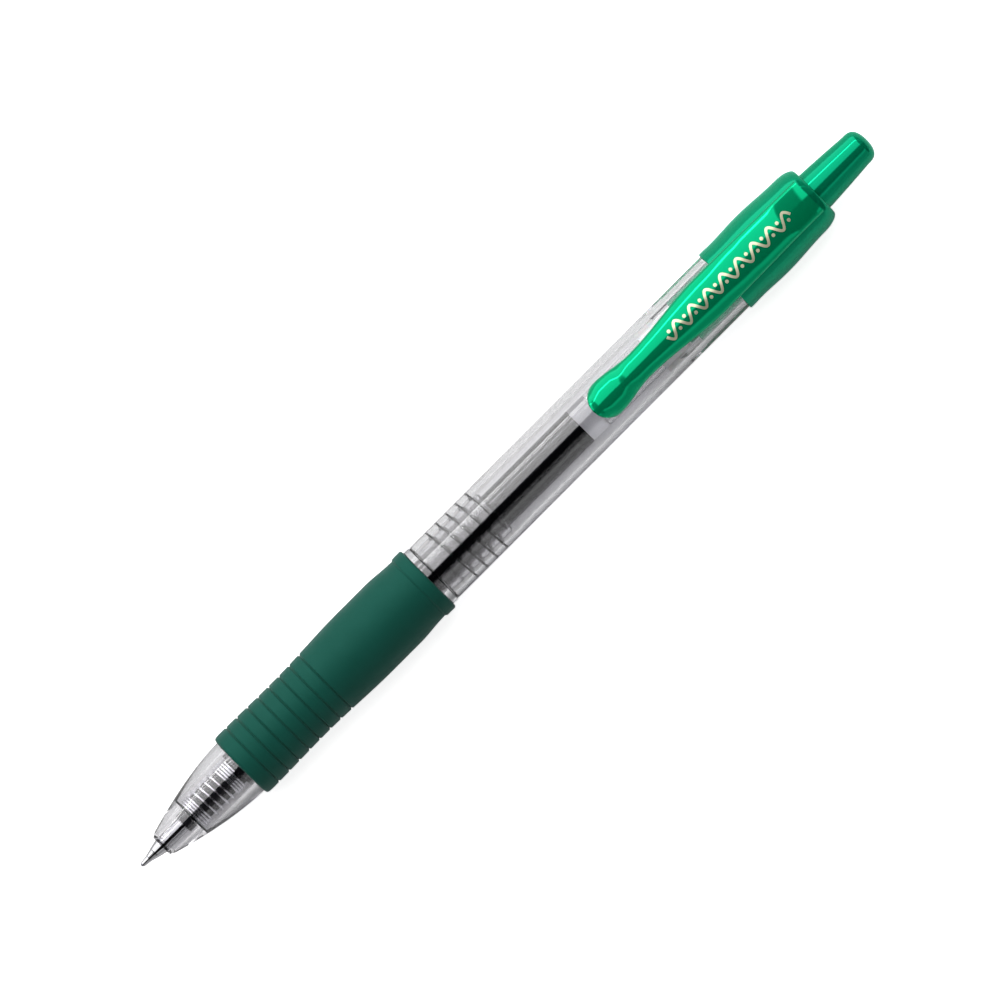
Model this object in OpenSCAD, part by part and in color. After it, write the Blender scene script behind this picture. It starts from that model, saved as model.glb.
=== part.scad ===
// Retractable gel pen lying on its side with its clip upwards.
// The pen is drawn along its own axis: s is the distance behind the tip of the writing ball,
// and x points to the clip. lay_down() then turns that axis into +X and the clip into +Z.
// The pen is in its writing position, with the point out.

/* [Overall] */
// Length over the point and the button, writing position
pen_len = 142.6; // [142:0.1:144]
// Travel of the button and the refill between writing and stored
click_travel = 5; // [4.4:0.1:5]
// Extra travel of the button past the writing position
over_travel = 1.2; // [0.6:0.1:1.2]

/* [Point] */
// Diameter of the writing ball
ball_d = 0.7; // [0.5:0.05:0.7]
// Diameter of the metal point behind its cone
point_d = 2.3; // [2.1:0.05:2.4]
// Diameter of the holder's collar in front of the spring
collar_d = 2.98; // [2.8:0.02:3.1]

/* [Refill] */
// Outer diameter of the ink tube
tube_od = 5.74; // [5.6:0.02:5.8]
// Inner diameter of the ink tube
tube_id = 4.7; // [4.6:0.02:4.8]
// Where the ink column ends
ink_end = 86.3; // [30:0.1:92]
// Length of the follower behind the ink
follower_len = 2.9; // [1.5:0.1:4]

/* [Spring] */
// Wire diameter
wire_d = 0.38; // [0.3:0.01:0.4]
// Mean coil diameter
coil_d = 4.8; // [4.7:0.02:4.84]
// Closed turns at each end
closed_turns = 4; // [3:1:4]
// Open turns between them
open_turns = 5; // [4:1:6]

/* [Front barrel and grip] */
// Diameter of the flat face at the mouth
nose_d = 3.86; // [3.6:0.02:4.2]
// Diameter where the nose meets the grip
nose_rear_d = 9.3; // [9.1:0.05:9.4]
// Largest diameter of the grip
grip_d = 11.14; // [11:0.02:11.4]
// Depth of the finger grooves
groove_depth = 0.15; // [0.1:0.01:0.3]
// Number of finger grooves
grooves = 8; // [4:1:8]

/* [Rear barrel and cap] */
// Outer diameter of the clear rear barrel
barrel_d = 9.7; // [9.6:0.02:9.9]
// Pitch of the thread between the two barrels
thread_pitch = 1.93; // [1.6:0.01:1.95]
// Largest diameter of the cap
cap_d = 10.66; // [10.6:0.02:11]
// Diameter of the button where it leaves the cap
button_d = 6.2; // [6:0.02:6.22]

/* [Clip] */
// Width of the clip over the cap
clip_w = 6.3; // [6:0.05:6.5]
// Width of the clip at its neck
neck_w = 4.3; // [4:0.05:4.6]
// Diameter of the round end of the clip
paddle_d = 5.66; // [5.4:0.02:6]
// Height of the clip's highest point above the pen's axis
clip_top = 8; // [7.8:0.1:8.4]

/* [Hidden] */

$fn = 96;
eps = 0.01;
hair = 0.02;                    // gap left between two pieces that touch

// stations along the axis
mouth_s = 3.96;                 // front face of the clear nose
collar_s = 8.47;                // front of the holder's collar
seat_s = 9.72;                  // shoulder that carries the front of the spring
tube_s = 18.8;                  // front of the ink tube, the spring's rear seat
grip_s = 19.5;                  // front of the grip
grip_end = 56.45;
joint_s = 57.5;                 // line between the front collar and the rear barrel
thread_s = 60;                  // first thread ridge
thread_ridges = 5;
sleeve_end = 69.7;              // rear of the threaded sleeve
guide_s = 101.8;                // step in the bore where the cam guide begins
tube_end = 100.4;
cap_s = 114.7;                  // front edge of the cap
spigot_end = 121;               // rear of the barrel, inside the cap
cap_end = 132.3;
clip_s = 88.9;                  // front of the clip
flex_s = 117.1;                 // where the clip bends from the cap

// radii
ball_r = ball_d / 2;
point_r = point_d / 2;
collar_r = collar_d / 2;
tube_r = tube_od / 2;
ink_r = tube_id / 2;
holder_r = 2.05;                // holder inside the spring
channel_r = 1;                  // ink channel through the holder
shank_r = 0.95;                 // rear of the metal point, inside the holder
collar_ring_r = 4.95;           // clear collar behind the grip
barrel_r = barrel_d / 2;
bore_r = 3.9;                   // bore of the rear barrel in front of the cam guide
guide_r = 3.75;                 // bottom of the guide's slots
land_r = 3.18;                  // inner face of the guide's lands
spigot_r = 4.4;
grip_r = grip_d / 2;
core_r = 4.45;                  // clear core under the grip
cap_r = cap_d / 2;
button_r = button_d / 2;
key_r = 3.65;                   // keys of the button in the slots
refill_bore_r = 3.05;           // bore of the front barrel round the spring and the ink tube
sleeve_r = 3.6;                 // root of the male thread
thread_depth = 0.34;

axis_z = grip_r;                // the pen lies on its grip

// the cam: four lands and four fins whose ends slope alike
cams = 4;
land_deg = 18;
fin_deg = 16;
ramp = 2.1;                     // slope of their ends along the axis, per mm round the axis
land_front = 103;
cam_gap = 0.3;                  // play between the fins and the lands, along the axis
fin_rear = land_front - cam_gap;
fin_r = 3.6;
rotor_r = 2.85;
rotor_teeth = 8;
crown_s = 104.3;                // root of the rotor's teeth
tooth_h = 0.6;
button_s = crown_s + 2 * tooth_h + 0.15;

// Turns the pen's own axis into +X, with x of the section upwards
module lay_down() {
    translate([-pen_len / 2, 0, axis_z]) rotate([0, 90, 0]) rotate([0, 0, 180]) children();
}

// Solid of revolution from points [s, r]
module turned(points) {
    rotate_extrude() polygon([for (p = points) [p[1], p[0]]]);
}

// Ring between two stations
module ring(s0, s1, r_out, r_in) {
    difference() {
        translate([0, 0, s0]) cylinder(r = r_out, h = s1 - s0);
        translate([0, 0, s0 - 1]) cylinder(r = r_in, h = s1 - s0 + 2);
    }
}

// Round bore between two stations
module bore(s0, s1, r) {
    translate([0, 0, s0]) cylinder(r = r, h = s1 - s0);
}

// Value at s of a smooth line through keys [s, value], level at every key
function ease(t) = (1 - cos(180 * t)) / 2;
function through(keys, s, i = 0) =
    i == len(keys) - 1 || s <= keys[0][0] ? keys[i][1] :
    s <= keys[i + 1][0]
        ? keys[i][1] + (keys[i + 1][1] - keys[i][1]) * ease((s - keys[i][0]) / (keys[i + 1][0] - keys[i][0]))
        : through(keys, s, i + 1);

// Points [s, value] of that line at even steps
function sampled(keys, s0, s1, n) =
    [for (i = [0:n]) let (s = s0 + (s1 - s0) * i / n) [s, through(keys, s)]];

// Rows of thread ridge pointing away from the axis (out = 1) or towards it (out = -1)
module thread_ridges(first, count, root_r, out) {
    foot = 0.42;
    tip = 0.12;
    tip_r = root_r + out * thread_depth;
    foot_r = root_r - out * eps;
    for (i = [0:count - 1]) translate([0, 0, first + i * thread_pitch])
        rotate_extrude() polygon([[foot_r, -foot], [tip_r, -tip], [tip_r, tip], [foot_r, foot]]);
}

// Wedge round the clip's direction, deg wide
module wedge(s0, s1, deg, r = 6) {
    translate([0, 0, s0]) linear_extrude(height = s1 - s0)
        polygon([[0, 0], [r * cos(deg / 2), -r * sin(deg / 2)], [r * cos(deg / 2), r * sin(deg / 2)]]);
}

// Everything behind a plane at s0 that slopes by ramp across a wedge
module behind_ramp(s0) {
    depth = 30;
    half = 2;
    rotate([90, 0, 90]) linear_extrude(height = 6) polygon([
        [-half, s0 - ramp * half], [half, s0 + ramp * half], [half, s0 + depth], [-half, s0 + depth]]);
}

module around(count) {
    for (i = [0:count - 1]) rotate([0, 0, 360 / count * i]) children();
}

// ---- clear front barrel: nose, grip core, collar and threaded sleeve
nose_points = 16;
nose_power = 1.7;
mouth_land = 0.87;
mouth_gap = 0.2;
collar_gap = 0.26;
function nose_r(s) = (nose_rear_d
    - (nose_rear_d - nose_d) * pow((grip_s - s) / (grip_s - mouth_s), nose_power)) / 2;

module front_barrel() {
    color([0.86, 0.87, 0.9, 0.5]) lay_down() difference() {
        union() {
            turned(concat(
                [[mouth_s, 0], [mouth_s, nose_d / 2 - 0.1]],
                [for (i = [0:nose_points])
                    let (s = mouth_s + 0.1 + (grip_s - mouth_s - 0.1) * i / nose_points) [s, nose_r(s)]],
                [[grip_s, core_r], [grip_end, core_r],
                 [grip_end, collar_ring_r], [joint_s - hair, collar_ring_r], [joint_s - hair, sleeve_r],
                 [sleeve_end - 0.3, sleeve_r], [sleeve_end, sleeve_r - 0.3],
                 [sleeve_end, 0]]));
            thread_ridges(thread_s, thread_ridges, sleeve_r, 1);
        }
        bore(0, seat_s, point_r + mouth_gap);
        bore(mouth_s + mouth_land, seat_s + eps, collar_r + collar_gap);
        bore(seat_s, sleeve_end + 1, refill_bore_r);
    }
}

// ---- rubber grip with fine grooves round its front part
groove_s = 21.8;
groove_pitch = 2.05;
groove_w = 0.3;
grip_keys = [[20.3, grip_r - 0.25], [31, grip_r - 0.4], [44, grip_r], [49.5, grip_r], [54.2, grip_r - 0.28]];
function groove_points(s) = let (r = through(grip_keys, s)) [
    [s - groove_w / 2, r], [s - groove_w / 4, r - groove_depth],
    [s + groove_w / 4, r - groove_depth], [s + groove_w / 2, r]];

module grip_sleeve() {
    nose_round = 0.75;
    last_groove = groove_s + (grooves - 1) * groove_pitch;
    bead_s = 54.7;
    bead_r = grip_r - 0.07;
    color([0.05, 0.32, 0.24]) lay_down() difference() {
        turned(concat(
            [[grip_s, 0]],
            [for (a = [0:15:90])
                [grip_s + nose_round * (1 - cos(a)), grip_r - 0.25 - nose_round * (1 - sin(a))]],
            [for (i = [0:grooves - 1]) each groove_points(groove_s + i * groove_pitch)],
            sampled(grip_keys, last_groove + 1, 44, 8),
            sampled(grip_keys, 49.5, 54.2, 6),
            [[54.45, bead_r - 0.24], [bead_s, bead_r - 0.12], [bead_s + 0.35, bead_r],
             [grip_end - 0.5, bead_r], [grip_end - 0.1, bead_r - 0.25], [grip_end, bead_r - 0.5],
             [grip_end, 0]]));
        bore(grip_s - 1, grip_end + 1, core_r);
    }
}

// ---- clear rear barrel: female thread, bore, cam guide and the spigot inside the cap
module guide_land() {
    intersection() {
        ring(guide_s, spigot_end, guide_r + 0.1, land_r);
        wedge(guide_s, spigot_end, land_deg);
        behind_ramp(land_front);
    }
}

module rear_barrel() {
    female_r = sleeve_r + thread_depth + 0.08;
    barb = 0.3;
    color([0.86, 0.87, 0.9, 0.5]) lay_down() {
        difference() {
            turned([
                [joint_s, 0], [joint_s, barrel_r - 0.15], [joint_s + 0.15, barrel_r], [cap_s, barrel_r],
                [cap_s, spigot_r], [spigot_end - 3, spigot_r], [spigot_end - 3, spigot_r + barb],
                [spigot_end - 1.4, spigot_r - 0.2], [spigot_end, spigot_r - 0.2], [spigot_end, 0]]);
            bore(joint_s - 1, sleeve_end + 0.4, female_r);
            bore(joint_s, guide_s, bore_r);
            bore(joint_s, spigot_end + 1, guide_r);
        }
        thread_ridges(thread_s + thread_pitch / 2, thread_ridges - 1, female_r, -1);
        around(cams) guide_land();
    }
}

// ---- clip, drawn as its side view crossed with its plan
paddle_r = paddle_d / 2;
paddle_s = clip_s + paddle_r;
root_end = 131;
clip_keys = [[clip_s, 6.25], [90.6, 6.6], [93.8, 6.62], [97, 7.3], [110, clip_top], [120, clip_top - 0.1],
             [root_end, 5.55]];
under_keys = [[clip_s, 5.75], [90.6, 5.4], [92.8, barrel_r + 0.05], [95.4, 5.75], [108, 6.5], [flex_s, 6.5]];
width_keys = [[paddle_s, paddle_r], [98, neck_w / 2], [112, clip_w / 2], [root_end, clip_w / 2 - 0.2]];

// Half of the clip's plan, as points [s, y]: its round end, then the edge to station s1
function arm_edge(s1) = concat(
    [for (a = [0:9:81]) [paddle_s - paddle_r * cos(a), paddle_r * sin(a)]],
    sampled(width_keys, paddle_s, s1, 20));

// Both halves of a plan, standing along x above the axis
module clip_plan(edge) {
    last = len(edge) - 1;
    outline = concat(edge, [for (i = [last:-1:0]) if (edge[i][1] > 0) [edge[i][0], -edge[i][1]]]);
    rotate([90, 0, 90]) linear_extrude(height = 10) polygon([for (p = outline) [p[1], p[0]]]);
}

// Solid over a side view in (s, x), as wide as the clip
module side(points) {
    rotate([90, 0, 0]) linear_extrude(height = 10, center = true)
        polygon([for (p = points) [p[1], p[0]]]);
}

module clip_arm() {
    top = sampled(clip_keys, clip_s, flex_s - hair, 26);
    under = sampled(under_keys, clip_s, flex_s - hair, 22);
    color([0, 0.66, 0.42]) lay_down() intersection() {
        clip_plan(arm_edge(flex_s - hair));
        side(concat(top, [for (i = [len(under) - 1:-1:0]) under[i]]));
    }
}

// ---- cap with the clip's root on it, the socket for the barrel and the button's guide
module clip_cap() {
    cap_keys = [[115.5, cap_r - 0.11], [116.8, cap_r - 0.23], [123, cap_r], [129.5, cap_r - 0.33]];
    round_len = cap_end - 129.5;
    face_r = 3.9;
    pad_s = flex_s + hair;
    pad_foot = 3.5;
    color([0, 0.5, 0.34]) lay_down() difference() {
        union() {
            turned(concat(
                [[cap_s, 0], [cap_s, cap_r - 0.25], [cap_s + 0.2, cap_r - 0.11]],
                sampled(cap_keys, 115.5, 116.8, 3), sampled(cap_keys, 117.5, 129.5, 12),
                [for (a = [15:15:90])
                    [129.5 + round_len * sin(a), face_r + (cap_r - 0.33 - face_r) * cos(a)]],
                [[cap_end, 0]]));
            intersection() {
                clip_plan(sampled(width_keys, pad_s, root_end, 6));
                side(concat([[pad_s, pad_foot]], sampled(clip_keys, pad_s, root_end, 12),
                            [[root_end, pad_foot]]));
            }
        }
        bore(cap_s - 1, spigot_end + 0.1, spigot_r + 0.05);
        // groove for the barb at the barrel's end
        turned([
            [spigot_end - 3.1, 0], [spigot_end - 3.1, spigot_r + 0.35],
            [spigot_end - 1.3, spigot_r], [spigot_end - 1.3, 0]]);
        bore(spigot_end, cap_end + 1, button_r + 0.08);
    }
}

// ---- push button: crown, keys, hollow stem and rounded end
module crown(root, tip) {
    // teeth on the ring's end at root, pointing to tip
    width = 360 / rotor_teeth;
    half = rotor_r * sin(width / 2);
    intersection() {
        ring(min(root, tip) - eps, max(root, tip) + eps, rotor_r, 2);
        around(rotor_teeth) rotate([90, 0, 90]) linear_extrude(height = 4)
            polygon([[-half, root], [half, root], [half, tip]]);
    }
}

module push_button() {
    key_s = 106.7;
    key_end = spigot_end - click_travel - 0.2;
    key_deg = 360 / cams - land_deg - 3;
    stem_r = button_r;
    taper_s = cap_end + 0.2;
    dome_s = 140.3;
    dome_r = 2.62;
    dome_len = pen_len - dome_s;
    color([0, 0.62, 0.4]) lay_down() {
        crown(button_s + eps, button_s - tooth_h);
        difference() {
            union() {
                turned(concat(
                    [[button_s, 0], [button_s, rotor_r], [key_s, rotor_r],
                     [key_s, stem_r], [taper_s, stem_r]],
                    [for (t = [0.25:0.25:1])
                        [taper_s + (dome_s - taper_s) * t, stem_r - (stem_r - dome_r) * pow(t, 1.2)]],
                    [for (t = [0.2, 0.4, 0.6, 0.75, 0.87, 0.95, 0.99])
                        [dome_s + dome_len * t, dome_r * pow(1 - pow(t, 3.5), 1 / 2.2)]],
                    [[pen_len, 0]]));
                around(cams) rotate([0, 0, 45]) intersection() {
                    ring(key_s, key_end, key_r, stem_r - 0.2);
                    wedge(key_s, key_end, key_deg, 9);
                }
            }
            bore(button_s - 1, dome_s - 1, 2);
        }
    }
}

// ---- rotor: stub inside the tube, shoulder, fins and crown
module rotor_cam() {
    stub_len = 4;
    fin_front = tube_end + 0.15;
    fin_tip = fin_rear + 1.2;
    color([0.93, 0.94, 0.95]) lay_down() {
        crown(crown_s - eps, crown_s + tooth_h);
        difference() {
            union() {
                bore(tube_end - stub_len, tube_end + 1, ink_r - 0.2);
                bore(tube_end + hair, crown_s, rotor_r);
                around(cams) difference() {
                    intersection() {
                        ring(fin_front, fin_tip, fin_r, rotor_r - 0.1);
                        wedge(fin_front, fin_tip, fin_deg);
                    }
                    behind_ramp(fin_rear);
                }
            }
            bore(tube_end - stub_len - 1, crown_s + 1, 1.2);
        }
    }
}

// ---- compression spring: closed turns at both ends, open turns between
spring_sides = 8;
spring_step = 30;               // degrees of turn from one ring of points to the next
seat_gap = 0.06;                // between the spring and its seats
spring_s0 = seat_s + wire_d / 2 + seat_gap;
spring_s1 = tube_s - wire_d / 2 - seat_gap;
closed_pitch = wire_d + 0.04;
spring_turns = 2 * closed_turns + open_turns;
open_pitch = (spring_s1 - spring_s0 - 2 * closed_turns * closed_pitch) / open_turns;
function spring_s(turn) = spring_s0
    + closed_pitch * min(turn, closed_turns)
    + open_pitch * min(max(turn - closed_turns, 0), open_turns)
    + closed_pitch * max(turn - closed_turns - open_turns, 0);

module return_spring() {
    rings = spring_turns * 360 / spring_step;
    points = [for (i = [0:rings]) let (a = i * spring_step, s = spring_s(a / 360))
        for (k = [0:spring_sides - 1]) let (b = 360 * k / spring_sides, r = coil_d / 2 + wire_d / 2 * cos(b))
            [r * cos(a), r * sin(a), s + wire_d / 2 * sin(b)]];
    walls = [for (i = [0:rings - 1], k = [0:spring_sides - 1])
        let (n = spring_sides, k2 = (k + 1) % n, p = i * n + k, q = i * n + k2)
            each [[p, q, q + n], [p, q + n, p + n]]];
    first = [for (k = [spring_sides - 1:-1:0]) k];
    last = [for (k = [0:spring_sides - 1]) rings * spring_sides + k];
    color([0.78, 0.79, 0.81]) lay_down() polyhedron(points = points, faces = concat(walls, [first, last]));
}

// ---- refill: tube, ink, follower, holder, metal point and ball
holder_end = tube_s + 4;

module refill_tube() {
    color([0.9, 0.91, 0.93, 0.5]) lay_down() ring(tube_s, tube_end, tube_r, ink_r);
}

module ink_column() {
    color([0.03, 0.03, 0.04]) lay_down() union() {
        ring(holder_end, ink_end, ink_r - hair, 0);
        bore(collar_s + 2.1, holder_end + eps, channel_r - hair);
    }
}

module grease_follower() {
    dish = 0.25;
    color([0.8, 0.81, 0.8, 0.7]) lay_down() turned([
        [ink_end + hair, 0], [ink_end + hair, ink_r - hair], [ink_end + follower_len + dish, ink_r - hair],
        [ink_end + follower_len, ink_r - 3 * dish], [ink_end + follower_len - dish / 2, 0]]);
}

module tip_holder() {
    color([0.16, 0.16, 0.18]) lay_down() difference() {
        turned([
            [collar_s, 0], [collar_s, collar_r - 0.08], [collar_s + 0.08, collar_r],
            [seat_s + over_travel + 0.2, collar_r], [seat_s + over_travel + 0.6, holder_r],
            [tube_s, holder_r], [tube_s, ink_r - hair], [holder_end - 0.3, ink_r - hair],
            [holder_end, ink_r - 0.3], [holder_end, 0]]);
        bore(collar_s - 1, collar_s + 2, shank_r + hair);
        bore(collar_s, holder_end + 1, channel_r);
    }
}

module metal_point() {
    cone_end = 3.4;
    color([0.82, 0.83, 0.85]) lay_down() difference() {
        turned([
            [0.3, 0], [0.3, ball_r + 0.02], [0.7, ball_r + 0.15], [1.4, point_r - 0.46],
            [2.1, point_r - 0.265], [2.8, point_r - 0.11], [cone_end, point_r], [collar_s - hair, point_r],
            [collar_s - hair, shank_r], [collar_s + 1.8, shank_r], [collar_s + 2, shank_r - 0.15],
            [collar_s + 2, 0]]);
        bore(0, 0.75, ball_r + 0.005);
        bore(0, collar_s + 3, 0.15);
        bore(2.2, collar_s + 3, 0.5);
    }
}

module writing_ball() {
    color([0.6, 0.6, 0.62]) lay_down() translate([0, 0, ball_r]) sphere(r = ball_r, $fn = 48);
}

front_barrel();
grip_sleeve();
rear_barrel();
clip_cap();
clip_arm();
push_button();
rotor_cam();
return_spring();
refill_tube();
ink_column();
grease_follower();
tip_holder();
metal_point();
writing_ball();
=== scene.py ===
"""Looks of a retractable gel pen lying on its grip, point out, clip upwards.

The pen is described along its own axis: s is the station in mm behind the writing ball's tip,
r the distance from the axis in mm, and a the angle round the axis from the clip, in radians.
Sizes are in mm and angles in radians. The finished points, the floor and the camera are in metres.
"""

import bmesh
import bpy
import numpy as np
from mathutils import Matrix, Vector


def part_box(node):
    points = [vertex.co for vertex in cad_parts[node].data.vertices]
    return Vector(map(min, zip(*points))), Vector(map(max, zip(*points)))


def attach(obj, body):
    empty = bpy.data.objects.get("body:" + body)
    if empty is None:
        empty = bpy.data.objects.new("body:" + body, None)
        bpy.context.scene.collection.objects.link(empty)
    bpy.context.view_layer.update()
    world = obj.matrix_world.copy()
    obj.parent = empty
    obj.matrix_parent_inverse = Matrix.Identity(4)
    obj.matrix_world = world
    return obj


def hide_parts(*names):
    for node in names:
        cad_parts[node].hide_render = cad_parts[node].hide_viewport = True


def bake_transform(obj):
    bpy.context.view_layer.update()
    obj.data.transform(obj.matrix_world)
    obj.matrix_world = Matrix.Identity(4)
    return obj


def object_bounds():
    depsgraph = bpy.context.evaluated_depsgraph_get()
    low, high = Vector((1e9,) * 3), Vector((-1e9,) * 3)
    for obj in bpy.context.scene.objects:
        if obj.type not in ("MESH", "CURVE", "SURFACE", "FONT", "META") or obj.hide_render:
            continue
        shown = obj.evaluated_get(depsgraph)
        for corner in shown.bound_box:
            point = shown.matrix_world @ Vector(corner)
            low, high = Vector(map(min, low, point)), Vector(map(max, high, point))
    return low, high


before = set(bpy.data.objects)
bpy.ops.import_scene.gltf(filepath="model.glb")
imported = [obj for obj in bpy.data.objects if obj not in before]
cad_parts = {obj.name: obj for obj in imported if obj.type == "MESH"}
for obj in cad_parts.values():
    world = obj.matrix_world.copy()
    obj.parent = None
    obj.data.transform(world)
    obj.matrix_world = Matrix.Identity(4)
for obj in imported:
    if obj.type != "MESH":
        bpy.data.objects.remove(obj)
CAD_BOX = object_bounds()
MM = 0.001
TAU = 2 * np.pi

# ---- the pen's axis and its stations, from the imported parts
GRIP_LOW, GRIP_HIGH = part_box("grip_sleeve")
TIP_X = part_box("writing_ball")[0].x
AXIS_Z = (GRIP_LOW.z + GRIP_HIGH.z) / 2
AXIS_Y = (GRIP_LOW.y + GRIP_HIGH.y) / 2


def front_of(node):
    """Station of a node's front end, in mm."""
    return (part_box(node)[0].x - TIP_X) / MM


def rear_of(node):
    """Station of a node's rear end, in mm."""
    return (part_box(node)[1].x - TIP_X) / MM


def half_width(node):
    """Half of a node's width across the pen, in mm."""
    low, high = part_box(node)
    return (high.y - low.y) / 2 / MM


MOUTH_S = front_of("front_barrel")
SLEEVE_END = rear_of("front_barrel")
GRIP_S = front_of("grip_sleeve")
GRIP_END = rear_of("grip_sleeve")
JOINT_S = front_of("rear_barrel")
SPIGOT_END = rear_of("rear_barrel")
CAP_S = front_of("clip_cap")
CAP_END = rear_of("clip_cap")
CLIP_S = front_of("clip_arm")
FLEX_S = rear_of("clip_arm")
BUTTON_S = front_of("push_button")
PEN_END = rear_of("push_button")
COLLAR_S = front_of("tip_holder")
HOLDER_END = rear_of("tip_holder")
TUBE_S = front_of("refill_tube")
TUBE_END = rear_of("refill_tube")
INK_END = rear_of("ink_column")
FOLLOWER_END = rear_of("grease_follower")

BARREL_R = half_width("rear_barrel")
GRIP_R = half_width("grip_sleeve")
CAP_R = half_width("clip_cap")
TUBE_R = half_width("refill_tube")
INK_R = half_width("ink_column")
POINT_R = half_width("metal_point")
BALL_R = half_width("writing_ball")
CLIP_W = half_width("clip_arm")
CLIP_TOP = (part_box("clip_arm")[1].z - AXIS_Z) / MM

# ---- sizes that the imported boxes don't hold
# nose, grip core and the sleeve that screws into the rear barrel
MOUTH_R = 1.35
NOSE_RIM_R = 1.66
NOSE_FRONT_R = 1.84
NOSE_REAR_R = 4.65
NOSE_POWER = 1.68
NOSE_BORE_R = 1.75
LIP_DEPTH = 0.87
CORE_R = 4.45
JOINT_COLLAR_R = 4.95
SLEEVE_R = 3.6
REFILL_BORE_R = 3.05
SEAT_S = 9.72

# the joint's thread; the crest's half width, its flank and the bore's turn are shares of a pitch
THREAD_S = 59.5
THREAD_END = 69.1
THREAD_PITCH = 1.93
THREAD_DEPTH = 0.34
THREAD_RISE = 0.2
THREAD_FADE = 0.8
CREST_HALF = 0.075
CREST_FLANK = 0.07
GROOVE_CUT = 0.2
FEMALE_TURN = 0.17

# rear barrel: its bore, the cam guide with its lands, and the spigot in the cap; the lands' fronts climb
# LAND_SLOPE mm along the pen for each mm round it
FEMALE_R = SLEEVE_R + THREAD_DEPTH + 0.08
BORE_R = 3.9
GUIDE_S = 101.8
GUIDE_R = 3.75
LAND_R = 3.18
LAND_FRONT = 103.6
LAND_HALF = np.radians(9)
LAND_SLOPE = 2.1
SPIGOT_R = 4.4
CATCH_LENGTH = 3

# grip: round-bottomed grooves
GROOVE_S = 21.9
GROOVE_PITCH = 2.04
GROOVES = 8
GROOVE_DEPTH = 0.24
GROOVE_WIDTH = 0.12

# cap
CAP_ROUND_S = 129.5
CAP_DOME_R = 3.9
BUTTON_BORE_R = 3.18

# clip; its bend runs from the root to where it is free, and its two arches are in mm per square mm
CLIP_END = 131.2
PADDLE_R = 2.83
NECK_W = 2.15
CLIP_EDGE = 0.32
CLIP_LEAST = 0.02
CLIP_ROOT_S = 119
CLIP_FREE_S = 113
STEP_END_S = 100
STEP_ARCH = 0.16
FALL_ARCH = 0.1
ARCH_MIDDLE_S = 104
ARCH_REACH = 8

# foil ornament on the clip
ORNAMENT_S = 103.4
ORNAMENT_END = 127.6
WAVES = 8
SWING = 0.92
STROKE = 0.2
DOT_R = 0.27
DOT_OFFSET = 0.42
FOIL_LIFT = 0.02
FOIL_SINK = 0.03

# push button
FOOT_S = BUTTON_S + 0.3
SKIRT_S = 106.7
SKIRT_R = 3.6
KEY_END = SPIGOT_END - 5.2
KEY_HALF = np.radians(34)
STEM_R = 3.1
STEM_BORE_R = 2.0
FOOT_R = 2.85
DOME_S = 140.3
DOME_R = 2.62

# spring
WIRE_R = 0.19
COIL_R = 2.4
CLOSED_TURNS = 4
OPEN_TURNS = 5
COIL_GAP = 0.06
WIRE_SIDES = 12
STEPS_A_TURN = 48

# refill
TUBE_BORE = INK_R + 0.02
WET_R = TUBE_BORE + 0.015
MENISCUS = 0.35
GREASE_DISH = 0.38
COLLAR_R = 1.49
HOLDER_R = 2.05
INLET_R = 1.0
SHANK_R = 0.95
POINT_BORE_R = 0.15


# ---- mesh making

def to_world(s, r, a):
    """World points for station s, radius r and angle a: x runs along the pen, z up through the clip."""
    x = TIP_X + s * MM
    y = AXIS_Y - r * np.sin(a) * MM
    z = AXIS_Z + r * np.cos(a) * MM
    return np.stack(np.broadcast_arrays(x, y, z), axis=-1)


def place(s, y, x):
    """World points for station s, y mm across the pen from its middle and x mm above the axis."""
    return np.stack(np.broadcast_arrays(TIP_X + s * MM, AXIS_Y - y * MM, AXIS_Z + x * MM), axis=-1)


def skin(name, grid, closed_rows=False, crease=35):
    """A closed surface over a grid of points: the last column joins the first, the last row joins the first
    where closed_rows is set, points that meet are merged, and the faces are turned outwards. The surface is
    inside out where the volume of the tetrahedra between its faces and its middle adds up below zero."""
    rows, columns = grid.shape[:2]
    index = np.arange(rows * columns).reshape(rows, columns)
    if closed_rows:
        index = np.vstack([index, index[:1]])
    index = np.hstack([index, index[:, :1]])
    quads = np.stack([index[:-1, :-1], index[1:, :-1], index[1:, 1:], index[:-1, 1:]], axis=-1)
    quads = quads.reshape(-1, 4)
    points = grid.reshape(-1, 3)
    middle = points.mean(axis=0)
    p, q, u, v = (points[quads[:, k]] - middle for k in range(4))
    volume = np.einsum("ij,ij->", p, np.cross(q, u)) + np.einsum("ij,ij->", p, np.cross(u, v))
    if volume < 0:
        quads = quads[:, ::-1]
    mesh = bpy.data.meshes.new(name)
    mesh.vertices.add(len(points))
    mesh.vertices.foreach_set("co", points.ravel())
    mesh.loops.add(quads.size)
    mesh.loops.foreach_set("vertex_index", quads.ravel())
    mesh.polygons.add(len(quads))
    mesh.polygons.foreach_set("loop_start", np.arange(0, quads.size, 4))
    mesh.update(calc_edges=True)
    shell = bmesh.new()
    shell.from_mesh(mesh)
    bmesh.ops.remove_doubles(shell, verts=shell.verts, dist=2e-7)
    shell.to_mesh(mesh)
    shell.free()
    mesh.validate()
    mesh.shade_smooth()
    mesh.set_sharp_from_angle(angle=np.radians(crease))
    piece = bpy.data.objects.new(name, mesh)
    bpy.context.scene.collection.objects.link(piece)
    return piece


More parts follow.
